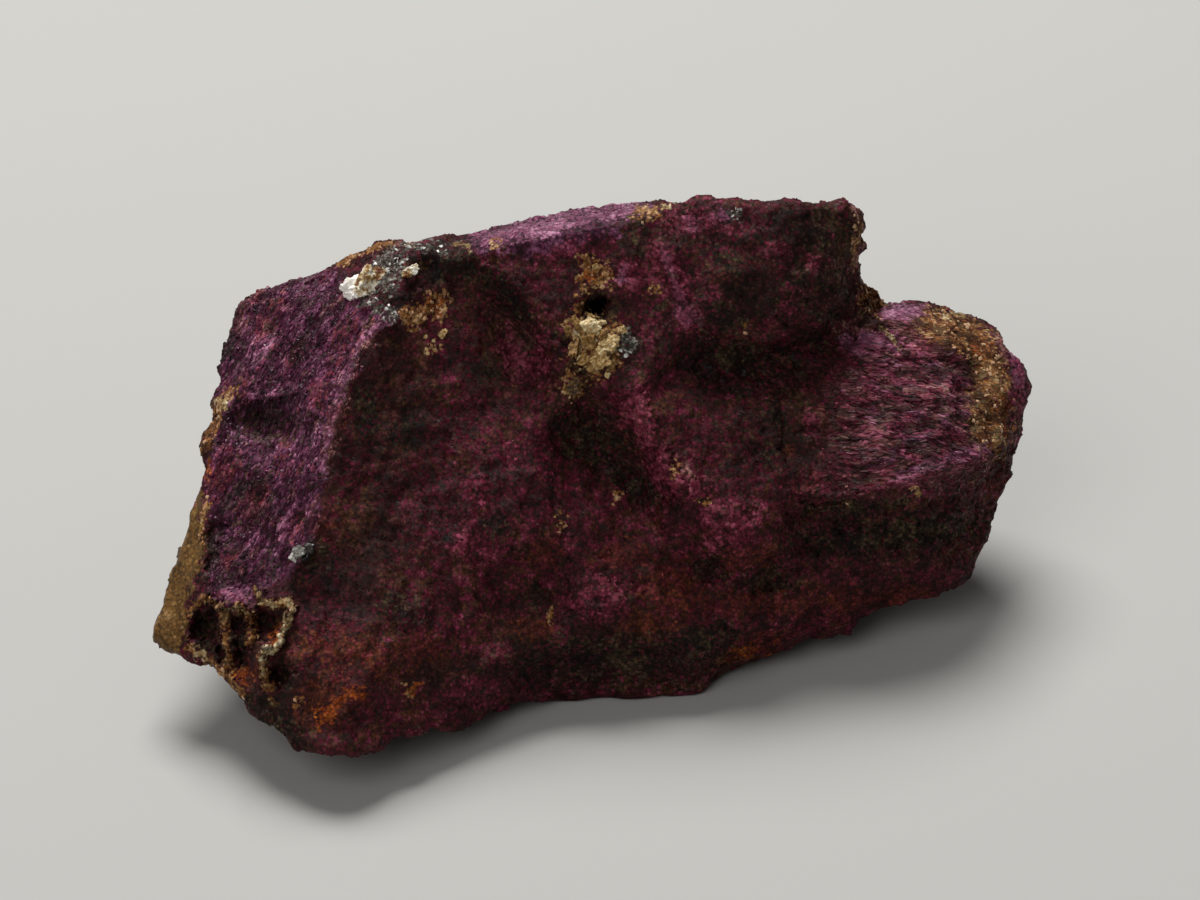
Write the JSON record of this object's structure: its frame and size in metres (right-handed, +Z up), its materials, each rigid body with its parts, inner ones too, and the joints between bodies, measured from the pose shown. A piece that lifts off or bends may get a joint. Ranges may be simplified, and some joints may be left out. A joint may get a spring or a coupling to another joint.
{
  "type": "rough purpurite mineral specimen",
  "caption": "Broken wedge-shaped lump of purple phosphate mineral with a rusty crust, resting on a small flat spot.",
  "frame": {"origin": "centre of the bounding box at the level of the small flat spot that the stone rests on", "axes": "+Z up, +X along the stone, -Y the side that it is shown from"},
  "size_m": [0.061, 0.0394, 0.0308],
  "materials": {
    "stone": "matte"
  },
  "bodies": {
    "root": {"stone": "stone"}
  },
  "joints": []
}
